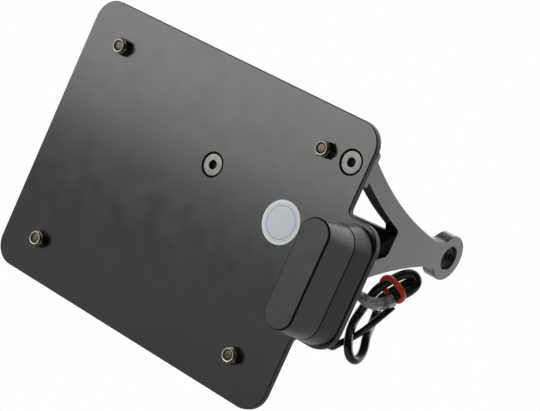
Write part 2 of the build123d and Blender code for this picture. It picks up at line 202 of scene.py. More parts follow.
class Finish(Graph):
    """A procedural material on object coordinates."""

    def __init__(self, name, colour, **sockets):
        self.material = bpy.data.materials.new(name)
        self.material.use_nodes = True
        super().__init__(self.material.node_tree)
        self.shader = self.nodes["Principled BSDF"]
        self.shader.inputs["Base Color"].default_value = (*colour, 1.0)
        for socket, value in sockets.items():
            self.shader.inputs[socket.replace("_", " ")].default_value = value
        self.place = self.node("ShaderNodeTexCoord").outputs["Object"]
        self.relief = None

    def noise(self, grain, detail=2.0, place=None, **values):
        """Noise whose features are about as wide as the grain."""
        made = self.node("ShaderNodeTexNoise", {"Vector": place or self.place},
                         {"Scale": 1.0 / grain, "Detail": detail, **values})
        return made.outputs["Fac"]

    def spread(self, source, low, high, start=0.3, end=0.7):
        """Maps a pattern to a range."""
        made = self.node("ShaderNodeMapRange", {"Value": source},
                         {"From Min": start, "From Max": end, "To Min": low, "To Max": high})
        return made.outputs["Result"]

    def shades(self, source, stops, interpolation="LINEAR"):
        """Colours along a pattern."""
        made = self.node("ShaderNodeValToRGB", {"Fac": source})
        ramp = made.color_ramp
        ramp.interpolation = interpolation
        while len(ramp.elements) < len(stops):
            ramp.elements.new(0.5)
        for element, (position, colour) in zip(ramp.elements, stops):
            element.position = position
            element.color = (*colour, 1.0)
        return made.outputs["Color"]

    def colour(self, source):
        """Uses a pattern as the base colour."""
        self.links.new(source, self.shader.inputs["Base Color"])

    def clouds(self, colour, grain, detail, dark, light):
        """Uses soft clouds of a colour, from darker to lighter, as the base colour."""
        stops = [(0.3, shaded(colour, dark)), (0.7, shaded(colour, light))]
        self.colour(self.shades(self.noise(grain, detail), stops))

    def rough(self, source, low, high):
        """Varies the roughness along a pattern."""
        self.links.new(self.spread(source, low, high), self.shader.inputs["Roughness"])

    def bump(self, source, strength, depth):
        """Adds a relief on top of those before it."""
        links = {"Height": source}
        if self.relief:
            links["Normal"] = self.relief
        made = self.node("ShaderNodeBump", links, {"Strength": strength, "Distance": depth})
        self.relief = made.outputs["Normal"]
        self.links.new(self.relief, self.shader.inputs["Normal"])


def shaded(colour, factor):
    """A colour made lighter or darker."""
    return tuple(min(1.0, part * factor) for part in colour)


def coat(name, colour, settings, dull=0.0):
    """Satin coat with a fine grain, faint clouds and slightly uneven gloss."""
    roughness = settings.roughness + dull
    finish = Finish(name, colour, Roughness=roughness, Specular_IOR_Level=0.5 - dull)
    finish.clouds(colour, 38 * MM, 3.0, 0.86, 1.16)
    finish.rough(finish.noise(9 * MM, 4.0), roughness - 0.02, roughness + 0.02)
    finish.bump(finish.noise(settings.grain, 3.0), settings.grain_depth, 0.04 * MM)
    finish.bump(finish.noise(2.6 * MM, 2.0), settings.grain_depth * 0.5, 0.05 * MM)
    return finish.material


def moulded_plastic(name, colour, settings, gloss=0.36, sheen=0.22):
    """Moulded plastic with a spark-eroded grain."""
    finish = Finish(name, colour, Roughness=settings.roughness, Specular_IOR_Level=gloss,
                    Sheen_Weight=sheen, Sheen_Roughness=0.30)
    finish.clouds(colour, 14 * MM, 4.0, 0.88, 1.14)
    finish.rough(finish.noise(5 * MM, 3.0), settings.roughness - 0.04, settings.roughness + 0.05)
    cells = finish.node("ShaderNodeTexVoronoi", {"Vector": finish.place},
                        {"Scale": 1.0 / settings.grain, "Randomness": 1.0})
    finish.bump(cells.outputs["Distance"], 0.10, 0.02 * MM)
    finish.bump(finish.noise(1.4 * MM, 3.0), 0.06, 0.04 * MM)
    return finish.material


def turned_metal(name, colour, settings, lift=0.0, metallic=1.0):
    """Metal with stains, uneven gloss and small scratches."""
    finish = Finish(name, colour, Metallic=metallic, Roughness=settings.roughness + lift)
    stains = finish.noise(2.2 * MM, 4.0)
    finish.colour(finish.shades(stains, [(0.28, shaded(colour, 0.74)), (0.5, colour),
                                         (0.74, shaded(colour, 1.12))]))
    finish.rough(finish.noise(0.8 * MM, 4.0), settings.roughness + lift - 0.07,
                 settings.roughness + lift + 0.10)
    finish.bump(finish.noise(0.35 * MM, 3.0), 0.16, 0.02 * MM)
    scratches = finish.node("ShaderNodeMapping", {"Vector": finish.place},
                            {"Scale": (1.0, 1.0, 9.0)})
    finish.bump(finish.noise(0.9 * MM, 2.0, scratches.outputs["Vector"]), 0.08, 0.02 * MM)
    return finish.material


def socket_shade_material(metals):
    """A dark, dull metal that paints the shade deep in a key socket."""
    made = bpy.data.materials.get("socket_painted_shade")
    if made:
        return made
    finish = Finish("socket_painted_shade", metals.recess, Metallic=0.2, Roughness=0.62,
                    Specular_IOR_Level=0.2)
    finish.clouds(metals.recess, 0.7 * MM, 3.0, 0.7, 1.4)
    finish.bump(finish.noise(0.4 * MM, 2.0), 0.2, 0.03 * MM)
    return finish.material


def soft_rubber(name, colour, roughness, grain):
    """Rubber with a matt skin and fine dust."""
    finish = Finish(name, colour, Roughness=roughness, Specular_IOR_Level=0.35)
    finish.clouds(colour, 4 * MM, 4.0, 0.78, 1.22)
    finish.rough(finish.noise(3 * MM, 3.0), roughness - 0.06, roughness + 0.08)
    finish.bump(finish.noise(grain, 3.0), 0.2, 0.03 * MM)
    return finish.material


def lead_sleeve(name, colour, roughness, grain=6 * MM, darkest=0.8):
    """Glossy extruded sleeve with a slightly wavy surface."""
    finish = Finish(name, colour, Roughness=roughness, Specular_IOR_Level=0.6)
    finish.clouds(colour, grain, 3.0, darkest, 1.3)
    finish.rough(finish.noise(2.5 * MM, 4.0), roughness - 0.06, roughness + 0.08)
    finish.bump(finish.noise(2.2 * MM, 3.0), 0.16, 0.10 * MM)
    finish.bump(finish.noise(0.3 * MM, 2.0), 0.12, 0.02 * MM)
    return finish.material


def round_film(name, settings, centre):
    """Printed film: a pale rim, a bluish field and one thin circle."""
    finish = Finish(name, settings.field, Roughness=0.42, Specular_IOR_Level=0.4)
    local = finish.node("ShaderNodeMapping", {"Vector": finish.place},
                        {"Location": (-centre.x, 0.0, -centre.z)})
    flat = finish.node("ShaderNodeVectorMath", {0: local.outputs["Vector"]}, {1: (1.0, 0.0, 1.0)},
                       operation="MULTIPLY")
    reach = finish.node("ShaderNodeVectorMath", {0: flat.outputs["Vector"]}, operation="LENGTH")
    low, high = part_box("round_label")
    edge = (high.x - low.x) / 2
    ratio = finish.node("ShaderNodeMath", {0: reach.outputs["Value"]}, {1: edge},
                        operation="DIVIDE")
    line = settings.line_radius / edge
    rim = 1.0 - settings.rim_width / edge
    half_line, blur = 0.010, 0.012
    stops = [(0.0, settings.field), (line - half_line - blur, settings.field),
             (line - half_line, settings.line), (line + half_line, settings.line),
             (line + half_line + blur, settings.field), (rim - blur, settings.field),
             (rim + blur / 2, settings.rim), (1.0, settings.rim)]
    print_colour = finish.shades(ratio.outputs["Value"], stops)
    mottle = finish.shades(finish.noise(0.9 * MM, 3.0),
                           [(0.3, (0.94, 0.95, 0.96)), (0.7, WHITE[:3])])
    mixed = finish.node("ShaderNodeMix", {6: print_colour, 7: mottle}, {0: 1.0},
                        data_type="RGBA", blend_type="MULTIPLY")
    finish.colour(mixed.outputs[2])
    finish.rough(finish.noise(4 * MM, 2.0), 0.34, 0.48)
    finish.bump(finish.noise(1.2 * MM, 2.0), 0.05, 0.03 * MM)
    return finish.material


def lens_plastic(name, colour):
    """Clear moulded plastic with faint flow marks."""
    finish = Finish(name, colour, Roughness=0.08, Transmission_Weight=0.92, IOR=1.49)
    finish.rough(finish.noise(3 * MM, 3.0), 0.05, 0.14)
    finish.bump(finish.noise(2.0 * MM, 2.0), 0.08, 0.05 * MM)
    return finish.material


def lacquered_board(name, colour):
    """Board lacquer over a faint woven ground."""
    finish = Finish(name, colour, Roughness=0.32)
    weave = finish.node("ShaderNodeTexWave", {"Vector": finish.place},
                        {"Scale": 260.0, "Distortion": 1.5})
    finish.colour(finish.shades(weave.outputs["Fac"],
                                [(0.0, shaded(colour, 0.82)), (1.0, shaded(colour, 1.25))]))
    finish.bump(weave.outputs["Fac"], 0.1, 0.02 * MM)
    return finish.material


def light_chip(name, colour):
    """The light chips' phosphor under clear resin."""
    finish = Finish(name, colour, Roughness=0.22, Coat_Weight=0.5)
    finish.clouds(colour, 0.5 * MM, 3.0, 0.88, 1.06)
    return finish.material


# ---------------------------------------------------------------- shapes


def add_piece(name, data):
    """Puts a mesh, curve, camera or lamp in the scene at the origin."""
    piece = bpy.data.objects.new(name, data)
    bpy.context.scene.collection.objects.link(piece)
    return piece


def bridge(bm, ring, following):
    """Faces from one ring to the next, which has as many corners."""
    count = len(ring)
    return [bm.faces.new((ring[step], ring[(step + 1) % count],
                          following[(step + 1) % count], following[step]))
            for step in range(count)]


def mesh_from(bm, name, crease=CREASE):
    """Turns a bmesh into a mesh, smooth except at creases."""
    bmesh.ops.recalc_face_normals(bm, faces=bm.faces)
    mesh = bpy.data.meshes.new(name)
    bm.to_mesh(mesh)
    bm.free()
    mesh.shade_smooth()
    mesh.set_sharp_from_angle(angle=math.radians(crease))
    return mesh


def baked(piece):
    """Replaces a piece's mesh by its evaluated one and drops its modifiers."""
    graph = bpy.context.evaluated_depsgraph_get()
    mesh = bpy.data.meshes.new_from_object(piece.evaluated_get(graph), depsgraph=graph)
    piece.modifiers.clear()
    piece.data = mesh
    return piece


def steady_normals(mesh, crease):
    """Sets corner normals, so that flat faces stay flat and rounded edges blend into them."""
    reach = math.cos(math.radians(crease))
    faces = mesh.polygons
    areas, keys = {}, []
    around = [[] for _ in mesh.vertices]
    for face in faces:
        offset = face.normal.dot(face.center)
        key = tuple(round(value, 3) for value in face.normal) + (round(offset, 4),)
        keys.append(key)
        areas[key] = areas.get(key, 0.0) + face.area
        for vertex in face.vertices:
            around[vertex].append(face.index)
    normals = []
    for face in faces:
        for vertex in face.vertices:
            total = Vector((0.0, 0.0, 0.0))
            for other in around[vertex]:
                if faces[other].normal.dot(face.normal) > reach:
                    total += faces[other].normal * areas[keys[other]]
            normals.append(total.normalized() if total.length > 0 else face.normal)
    mesh.normals_split_custom_set(normals)


def settle(piece, nodes):
    """Rides the piece on the holder and hides the CAD nodes that it stands for."""
    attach(piece, "root")
    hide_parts(*nodes)
    return piece


def dressed(node, name, material):
    """A merged and smoothly shaded copy of a CAD node with its finish."""
    bm = bmesh.new()
    bm.from_mesh(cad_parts[node].data)
    bmesh.ops.remove_doubles(bm, verts=bm.verts, dist=1e-6)
    piece = add_piece(name, mesh_from(bm, name))
    steady_normals(piece.data, CREASE)
    piece.data.materials.clear()
    piece.data.materials.append(material)
    return settle(piece, [node])


def rounds(*sizes):
    """Round rings of a turned part, from pairs of radius and level in millimetres."""
    return [("round", radius, level, None) for radius, level in sizes]


def hexagons(*sizes, caps=None):
    """Hexagonal rings, from pairs of half the width across flats and level, with cap radii."""
    caps = caps or [None] * len(sizes)
    return [("hexagon", half, level, cap) for (half, level), cap in zip(sizes, caps)]


def ring_of(bm, kind, size, level, count, cap):
    """One ring of a turned part: round, or a hexagon cut back to a cap radius."""
    ring = []
    for index in range(count):
        angle = 2 * math.pi * index / count
        reach = size
        if kind == "hexagon":
            sector = math.radians(60)
            reach = size / math.cos((angle + sector / 2) % sector - sector / 2)
            if cap:
                reach = min(reach, cap)
        ring.append(bm.verts.new((reach * math.cos(angle), -level, reach * math.sin(angle))))
    return ring


def turned(name, rings, loop=False, accents=(), count=48, crease=CREASE):
    """A part turned about Y from rings of (kind, size, level, cap), closed at both ends or looped.

    The steps from ring to ring that are listed as accents take the second finish.
    """
    bm = bmesh.new()
    accent = bm.faces.layers.bool.new("accent")
    made = [ring_of(bm, kind, size * MM, level * MM, count, cap * MM if cap else None)
            for kind, size, level, cap in rings]
    pairs = list(zip(made, made[1:]))
    if loop:
        pairs.append((made[-1], made[0]))
    for position, (lower, upper) in enumerate(pairs):
        for face in bridge(bm, lower, upper):
            face[accent] = position in accents
    if not loop:
        last_step = len(rings) - 2
        for ring, level, inside in ((made[0], rings[0][2], False),
                                    (made[-1], rings[-1][2], last_step in accents)):
            hub = bm.verts.new((0.0, -level * MM, 0.0))
            for index in range(count):
                face = bm.faces.new((ring[index], ring[(index + 1) % count], hub))
                face[accent] = inside
    return mesh_from(bm, name, crease)


def spread_tree():
    """Geometry Nodes that set a fastener at each place, turned at random, with its finishes."""
    tree = bpy.data.node_groups.new("fasteners_at_places", "GeometryNodeTree")
    tree.interface.new_socket("Geometry", in_out="OUTPUT", socket_type="NodeSocketGeometry")
    for label, kind in (("Places", "Geometry"), ("Fastener", "Object"), ("Size", "Float"),
                        ("Turn", "Float"), ("Seed", "Int"), ("Finish", "Material"),
                        ("Accent", "Material")):
        tree.interface.new_socket(label, in_out="INPUT", socket_type="NodeSocket" + kind)
    graph = Graph(tree)
    inputs = graph.node("NodeGroupInput").outputs
    fastener = graph.node("GeometryNodeObjectInfo", {"Object": inputs["Fastener"]},
                          transform_space="ORIGINAL")
    points = graph.node("GeometryNodeMeshToPoints", {"Mesh": inputs["Places"]})
    turn = graph.node("FunctionNodeRandomValue", {"Seed": inputs["Seed"]}, data_type="FLOAT")
    ends = {socket.name: socket for socket in turn.inputs if socket.enabled}
    ends["Min"].default_value = 0.0
    graph.links.new(inputs["Turn"], ends["Max"])
    drawn = [socket for socket in turn.outputs if socket.enabled][0]
    angle = graph.node("ShaderNodeCombineXYZ", {"Y": drawn})
    spread = graph.node("GeometryNodeInstanceOnPoints", {
        "Points": points.outputs["Points"], "Instance": fastener.outputs["Geometry"],
        "Rotation": angle.outputs["Vector"], "Scale": inputs["Size"]})
    real = graph.node("GeometryNodeRealizeInstances", {"Geometry": spread.outputs["Instances"]})
    finish = graph.node("GeometryNodeSetMaterial", {
        "Geometry": real.outputs["Geometry"], "Material": inputs["Finish"]})
    chosen = graph.node("GeometryNodeInputNamedAttribute", values={"Name": "accent"},
                        data_type="BOOLEAN")
    accent = graph.node("GeometryNodeSetMaterial", {
        "Geometry": finish.outputs["Geometry"], "Selection": chosen.outputs["Attribute"],
        "Material": inputs["Accent"]})
    graph.node("NodeGroupOutput", {"Geometry": accent.outputs["Geometry"]})
    return tree


def at_places(name, mesh, places, finish, accent, nodes, turn=60.0, seed=1):
    """One piece made of the same fastener at several places."""
    tree = bpy.data.node_groups.get("fasteners_at_places") or spread_tree()
    model = add_piece(name + "_model", mesh)
    spots = bpy.data.meshes.new(name + "_places")
    spots.from_pydata([tuple(place) for place in places], [], [])
    piece = add_piece(name, spots)
    modifier = piece.modifiers.new("fasteners", "NODES")
    modifier.node_group = tree
    keys = {item.name: item.identifier for item in tree.interface.items_tree
            if item.in_out == "INPUT"}
    modifier[keys["Fastener"]] = model
    modifier[keys["Size"]] = 1.0
    modifier[keys["Turn"]] = math.radians(turn)
    modifier[keys["Seed"]] = seed
    modifier[keys["Finish"]] = finish
    modifier[keys["Accent"]] = accent
    baked(piece)
    bpy.data.objects.remove(model)
    piece.data.set_sharp_from_angle(angle=math.radians(CREASE))
    return settle(piece, nodes)


# ---------------------------------------------------------------- operators


class HOLDER_OT_stage(bpy.types.Operator):
    """Camera, floor, sky and soft boxes."""
    bl_idname = "holder.stage"
    bl_label = "Stage"

    backdrop_side = (-0.59, 0.80, -0.12)
    dim_side = (0.77, -0.56, -0.12)
    plate_middle = (-0.085, -0.120, -0.0225)
    arm_middle = (0.0, -0.060, 0.0)
    camera_place = (0.484317, -0.890064, 0.096571)
    camera_turn = (1.445496, -0.418679, 0.644700)
    camera_lens = 128.99
    camera_shift = (0.01872, 0.01519)
    floor_reach = 6.0

    def execute(self, context):
        studio = context.scene.plate_holder_studio
        self.camera(context)
        self.floor(studio)
        self.sky(context, studio)
        for name, target, direction, width, height, level in (
                ("key_box", self.plate_middle, (-0.545, -0.838, 0.128), 1.15, 0.84, studio.key),
                ("top_box", self.arm_middle, (0.10, 0.84, 0.55), 3.0, 1.5, studio.top),
                ("rim_box", self.arm_middle, (0.40, 0.91, -0.06), 1.1, 1.1, studio.rim)):
            place = Vector(target) + Vector(direction).normalized() * studio.distance
            self.soft_box(name, place, Vector(target), width, height, level)
        return {"FINISHED"}

    def camera(self, context):
        """Camera at the photograph's angle."""
        data = bpy.data.cameras.new("camera")
        data.sensor_width = 36.0
        data.lens = self.camera_lens
        data.shift_x, data.shift_y = self.camera_shift
        data.clip_start = 0.01
        camera = add_piece("camera", data)
        camera.location = self.camera_place
        camera.rotation_euler = self.camera_turn
        context.scene.camera = camera

    def white_where_seen(self, graph, backdrop, plain, white):
        """Mixes in white for camera rays, and for glossy and clear ones at the backdrop."""
        path = graph.node("ShaderNodeLightPath").outputs
        bent = self.joined(graph, "MAXIMUM", path["Is Glossy Ray"], path["Is Transmission Ray"])
        shown = self.joined(graph, "MULTIPLY", bent, backdrop)
        seen = self.joined(graph, "MAXIMUM", path["Is Camera Ray"], shown)
        return graph.node("ShaderNodeMixShader", {0: seen, 1: plain, 2: white}).outputs[0]

    def joined(self, graph, operation, first, second):
        """Joins two values by a plain operation."""
        return graph.node("ShaderNodeMath", {0: first, 1: second}, operation=operation).outputs[0]

    def toward(self, graph, source, direction, start, end, low, high):
        """A value that goes from low to high as a place or direction turns one way."""
        dot = graph.node("ShaderNodeVectorMath", {0: source}, {1: Vector(direction).normalized()},
                         operation="DOT_PRODUCT")
        spread = graph.node("ShaderNodeMapRange", {"Value": dot.outputs["Value"]},
                            {"From Min": start, "From Max": end, "To Min": low, "To Max": high},
                            interpolation_type="SMOOTHSTEP")
        return spread.outputs["Result"]

    def floor(self, studio):
        """A wide pale floor below the holder."""
        bm = bmesh.new()
        bmesh.ops.create_grid(bm, x_segments=8, y_segments=8, size=self.floor_reach)
        bmesh.ops.translate(bm, verts=bm.verts, vec=(0.0, 0.0, -studio.floor_drop))
        mesh = bpy.data.meshes.new("floor")
        bm.to_mesh(mesh)
        bm.free()
        floor = add_piece("floor", mesh)
        paper = Finish("floor_paper", studio.floor, Roughness=0.9)
        white = paper.node("ShaderNodeEmission")
        backdrop = self.toward(paper, paper.place, self.backdrop_side,
                               start=-0.2, end=0.5, low=0.0, high=1.0)
        seen = self.white_where_seen(paper, backdrop, paper.shader.outputs[0], white.outputs[0])
        paper.links.new(seen, paper.nodes["Material Output"].inputs["Surface"])
        mesh.materials.append(paper.material)

    def sky(self, context, studio):
        """Soft light from all round, dimmer on the right in front, with a white backdrop."""
        world = bpy.data.worlds.new("studio")
        context.scene.world = world
        world.use_nodes = True
        graph = Graph(world.node_tree)
        direction = graph.node("ShaderNodeTexCoord").outputs["Generated"]
        plain = graph.nodes["Background"]
        plain.inputs["Color"].default_value = WHITE
        level = self.toward(graph, direction, self.dim_side,
                            start=-0.3, end=0.6, low=studio.sky, high=studio.sky * studio.dim)
        graph.links.new(level, plain.inputs["Strength"])
        white = graph.node("ShaderNodeBackground", values={"Color": WHITE, "Strength": 1.0})
        backdrop = self.toward(graph, direction, self.backdrop_side,
                               start=0.05, end=0.45, low=0.0, high=1.0)
        seen = self.white_where_seen(graph, backdrop, plain.outputs[0], white.outputs[0])
        graph.links.new(seen, graph.nodes["World Output"].inputs["Surface"])

    def soft_box(self, name, place, target, width, height, radiance):
        """A rectangular lamp that faces its target."""
        light = bpy.data.lights.new(name, "AREA")
        light.shape = "RECTANGLE"
        light.size, light.size_y = width, height
        light.energy = radiance * width * height * math.pi
        lamp = add_piece(name, light)
        lamp.location = place
        lamp.rotation_euler = (target - place).to_track_quat("-Z", "Y").to_euler()


class HOLDER_OT_leads(bpy.types.Operator):
    """The lamp's two free leads, the outer sleeve on one and the band round their strands."""
    bl_idname = "holder.leads"
    bl_label = "Leads and band"

    lead_exit = Vector((19.6, -110.5, -20.0))
    wire_exit = Vector((19.6, -110.5, -26.5))
    lead_route = [
        (0.0, 0.0, 0.0), (0.0, 7.5, 0.0), (2.6, 10.2, -5.0), (12.3, 10.7, -5.4),
        (14.3, 18.2, -2.4), (23.2, 24.9, 11.4), (16.7, 22.2, 16.9), (7.5, 15.3, 2.7),
        (5.6, 14.9, -7.2), (3.3, 17.1, -12.5), (4.3, 13.1, -18.8), (9.8, 6.7, -25.8),
        (12.8, 8.2, -32.3), (14.4, 14.1, -33.9), (12.8, 19.6, -29.0), (10.3, 19.7, -21.1),
        (3.6, 32.0, -16.0), (2.7, 32.3, -8.2), (10.1, 16.1, -1.2), (17.5, 26.0, 12.0),
    ]
    wire_route = [
        (0.0, 0.0, 0.0), (0.0, 5.5, 0.0), (0.0, 9.6, -7.4), (-3.9, 9.8, -18.7),
        (-2.7, 9.8, -25.2), (2.2, 8.7, -26.7), (5.3, 7.8, -22.7), (7.8, 16.0, -16.4),
        (13.6, 15.7, -6.8), (15.6, 22.1, 3.1),
    ]
    band_middle = (33.7, -92.8, -15.3)
    band_across = (0.7295, 0.3009, -0.6142)
    band_along = (0.4993, 0.3795, 0.7789)
    band_tilt = -50.0
    band_skew = 12.6
    band_half_width, band_half_height = 6.5 * MM, 3.9 * MM
    band_half_thickness, band_half_breadth = 1.3 * MM, 1.65 * MM
    band_squareness = 0.8
    lead_length, wire_length = 0.184, 0.073
    jacket_sides = 11
    jacket_slack = 0.8 * MM
    jacket_narrowing = 0.9 * MM
    fold_depth = 0.55 * MM

    def execute(self, context):
        leads = context.scene.plate_holder_leads
        sleeve = lead_sleeve("lead_sleeve", leads.sleeve, leads.sleeve_roughness)
        lead = self.cord("lamp_lead_sleeve", self.lead_exit, self.lead_route,
                         leads.lead_diameter, sleeve)
        wire = self.cord("lamp_wire_sleeve", self.wire_exit, self.wire_route,
                         leads.wire_diameter, sleeve)
        settle(lead, ["lamp_lead"])
        settle(wire, ["lamp_wire"])
        band = self.band(leads)
        settle(band, ["red_band"])
        jacket = self.jacket(lead, leads)
        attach(jacket, "root")
        return {"FINISHED"}

    def cord(self, name, start, route, diameter, material):
        """One smooth spline through a lead's route."""
        curve = bpy.data.curves.new(name, "CURVE")
        curve.dimensions = "3D"
        spline = curve.splines.new("NURBS")
        spline.points.add(len(route) - 1)
        for point, offset in zip(spline.points, route):
            point.co = (*((start + Vector(offset)) * MM), 1.0)
        spline.order_u = 3
        spline.use_endpoint_u = True
        spline.resolution_u = 12
        curve.bevel_depth = diameter / 2
        curve.bevel_resolution = 6
        curve.use_fill_caps = True
        curve.materials.append(material)
        return add_piece(name, curve)

    def line_of(self, cord):
        """Points of a cord's smooth line."""
        bare = cord.data.copy()
        bare.bevel_depth = 0.0
        probe = add_piece("probe", bare)
        graph = bpy.context.evaluated_depsgraph_get()
        mesh = bpy.data.meshes.new_from_object(probe.evaluated_get(graph), depsgraph=graph)
        points = [vertex.co.copy() for vertex in mesh.vertices]
        bpy.data.objects.remove(probe)
        bpy.data.meshes.remove(mesh)
        return points

    def jacket(self, lead, leads):
        """The crumpled outer sleeve on the lead's first stretch, which ends at the band."""
        line = self.line_of(lead)
        total = 0.0
        kept = []
        for before, point in zip(line, line[1:]):
            total += (point - before).length
            if leads.jacket_start <= total <= leads.jacket_end:
                kept.append(point)
        kept = kept[::2]
        bm = bmesh.new()
        rings = []
        across = Vector((0.0, 0.0, 1.0))
        for index, point in enumerate(kept):
            ahead = kept[min(index + 1, len(kept) - 1)] - kept[max(index - 1, 0)]
            tangent = ahead.normalized()
            across = (across - tangent * across.dot(tangent)).normalized()
            up = tangent.cross(across)
            share_along = index / (len(kept) - 1)
            mouth = self.jacket_narrowing * (1.0 - min(1.0, 2.0 * share_along))
            ring = []
            for step in range(self.jacket_sides):
                angle = 2 * math.pi * step / self.jacket_sides
                fold = (math.sin(5 * angle + 17 * share_along)
                        * math.sin(41 * share_along + 2 * math.sin(angle)))
                reach = (leads.lead_diameter / 2 + self.jacket_slack - mouth
                         + self.fold_depth * fold)
                outward = across * math.cos(angle) + up * math.sin(angle)
                ring.append(bm.verts.new(point + outward * reach))
            rings.append(ring)
        for ring, following in zip(rings, rings[1:]):
            bridge(bm, ring, following)
        bm.faces.new(rings[0])
        bm.faces.new(rings[-1])
        piece = add_piece("lead_jacket", mesh_from(bm, "lead_jacket", crease=22.0))
        film = lead_sleeve("lead_jacket", leads.jacket, leads.sleeve_roughness,
                           grain=3.5 * MM, darkest=0.25)
        piece.data.materials.append(film)
        return piece

    def band(self, leads):
        """A rubber band that runs askew round the folded strands in a flattened oval."""
        skew = math.radians(self.band_skew)
        tilt = math.radians(self.band_tilt)
        plain_across = Vector(self.band_across).normalized()
        plain_along = Vector(self.band_along).normalized()
        across = plain_across * math.cos(skew) + plain_along * math.sin(skew)
        along = plain_along * math.cos(skew) - plain_across * math.sin(skew)
        out = along.cross(across).normalized()
        lean = along * math.cos(tilt) - out * math.sin(tilt)
        rise = out * math.cos(tilt) + along * math.sin(tilt)
        total, count = 72, 16
        loop = []
        for index in range(total):
            angle = 2 * math.pi * index / total
            side, up = math.cos(angle), math.sin(angle)
            wide = math.copysign(abs(side) ** self.band_squareness, side)
            high = math.copysign(abs(up) ** self.band_squareness, up)
            loop.append(across * self.band_half_width * wide
                        + rise * self.band_half_height * high)
        centre = Vector(self.band_middle) * MM
        bm = bmesh.new()
        rings = []
        for index, point in enumerate(loop):
            tangent = (loop[(index + 1) % total] - loop[index - 1]).normalized()
            outward = lean.cross(tangent).normalized()
            ring = []
            for step in range(count):
                angle = 2 * math.pi * step / count
                swell = 1.0 + 0.05 * math.sin(3 * 2 * math.pi * index / total)
                offset = (outward * self.band_half_thickness * math.cos(angle) * swell
                          + lean * self.band_half_breadth * math.sin(angle))
                ring.append(bm.verts.new(centre + point + offset))
            rings.append(ring)
        for index, ring in enumerate(rings):
            bridge(bm, ring, rings[(index + 1) % total])
        piece = add_piece("rubber_band", mesh_from(bm, "rubber_band", crease=60.0))
        piece.data.materials.append(soft_rubber("red_rubber", leads.band, roughness=0.40,
                                                grain=0.5 * MM))
        return piece


class HOLDER_OT_carrier(bpy.types.Operator):
    """The coated carrier plate with its lamp tab."""
    bl_idname = "holder.carrier"
    bl_label = "Carrier plate"

    countersink_reach = 7.5 * MM
    sloped, upright = 0.9, 0.2

    def execute(self, context):
        settings = context.scene.plate_holder_coat
        plain_coat = coat("plate_coat", settings.plate, settings)
        sheet = dressed("carrier_plate", "carrier_sheet", plain_coat)
        # The countersink walls take the darker colour as painted shade round the screw heads.
        sheet.data.materials.append(coat("hole_shade", settings.shade, settings, dull=0.40))
        sheet.data.materials.append(coat("edge_coat", settings.plate, settings, dull=0.30))
        holes = [middle(node) for node in named("arm_screw", ARM_SCREWS)]
        for face in sheet.data.polygons:
            facing = abs(face.normal.y)
            in_countersink = any(math.hypot(face.center.x - hole.x, face.center.z - hole.z)
                                 < self.countersink_reach for hole in holes)
            if facing < self.sloped and in_countersink:
                face.material_index = 1
            elif facing < self.upright:
                face.material_index = 2
        return {"FINISHED"}


class HOLDER_OT_arm(bpy.types.Operator):
    """The milled arm with its eye, legs, feet and brace."""
    bl_idname = "holder.arm"
    bl_label = "Support arm"

    beside_arm = 4.5
    window_start = -55.0

    def execute(self, context):
        settings = context.scene.plate_holder_coat
        plain_coat = coat("arm_coat", settings.arm, settings, dull=0.06)
        arm = dressed("support_arm", "milled_arm", plain_coat)
        # The brace and the window's walls take a darker copy of the coat as painted shade.
        arm.data.materials.append(coat("arm_shade", settings.shade, settings, dull=0.36))
        for face in arm.data.polygons:
            if self.in_shade(face.center / MM, face.normal):
                face.material_index = 1
        return {"FINISHED"}

    def in_shade(self, place, normal):
        """Whether a face is on the brace or the window's walls, which take the darker coat as
        painted shade.
        """
        if place.x < -self.beside_arm:
            return True
        inward = normal.z * place.z < 0 or normal.y < -0.5
        on_wall = abs(normal.x) < 0.5 and abs(place.x) < self.beside_arm
        return on_wall and place.y < self.window_start and inward


class HOLDER_OT_lamp(bpy.types.Operator):
    """The lamp: seal, base, cover, lens, board and light chips."""
    bl_idname = "holder.lamp"
    bl_label = "Lamp"

    painted_edge_depth = 1.5 * MM

    def execute(self, context):
        lamp = context.scene.plate_holder_lamp
        rubber = soft_rubber("seal_rubber", context.scene.plate_holder_leads.rubber,
                             roughness=0.62, grain=0.4 * MM)
        plastic = moulded_plastic("lamp_plastic", lamp.plastic, lamp)
        dressed("lamp_gasket", "lamp_seal", rubber)
        # The rounded front edges of base and cover take a much darker copy of the plastic as a
        # painted dark reflection line.
        rim = moulded_plastic("lamp_rim_painted_shade", shaded(lamp.plastic, 0.15), lamp, gloss=0.12, sheen=0.0)
        for node, name in (("lamp_base", "lamp_tray"), ("lamp_cover", "lamp_hood")):
            shell = dressed(node, name, plastic)
            shell.data.materials.append(rim)
            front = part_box(node)[0].y
            for face in shell.data.polygons:
                rounded = -0.97 < face.normal.y < -0.3
                near_front = face.center.y < front + self.painted_edge_depth
                if rounded and near_front and face.normal.z > -0.55:
                    face.material_index = 1
        dressed("lamp_lens", "lamp_window", lens_plastic("lens_plastic", lamp.lens))
        lacquer = lacquered_board("board_lacquer", lamp.board)
        dressed("lamp_board", "light_board", lacquer)
        dressed("lamp_leds", "light_chips", light_chip("chip_phosphor", lamp.chip))
        return {"FINISHED"}


class HOLDER_OT_arm_screws(bpy.types.Operator):
    """The countersunk screws that hold the arm."""
    bl_idname = "holder.arm_screws"
    bl_label = "Countersunk screws"

    def execute(self, context):
        metals = context.scene.plate_holder_metal
        nodes = named("arm_screw", ARM_SCREWS)
        rings = (rounds((2.5, -14.3), (3.0, -13.9), (3.0, -3.3), (5.40, -0.62), (5.46, -0.52),
                        (5.40, -0.40), (5.15, -0.34), (2.45, -0.34))
                 + hexagons((2.0, -0.62), (2.0, -2.2)) + rounds((0.6, -2.5)))
        # The key socket's faces are the accent and take the painted socket shade.
        mesh = turned("countersunk_screw", rings, accents=(7, 8, 9))
        places = places_of(nodes, PLATE_FRONT)
        steel = turned_metal("screw_steel", metals.head, metals, lift=0.12, metallic=0.15)
        at_places("countersunk_screws", mesh, places, steel, socket_shade_material(metals), nodes,
                  seed=4)
        return {"FINISHED"}


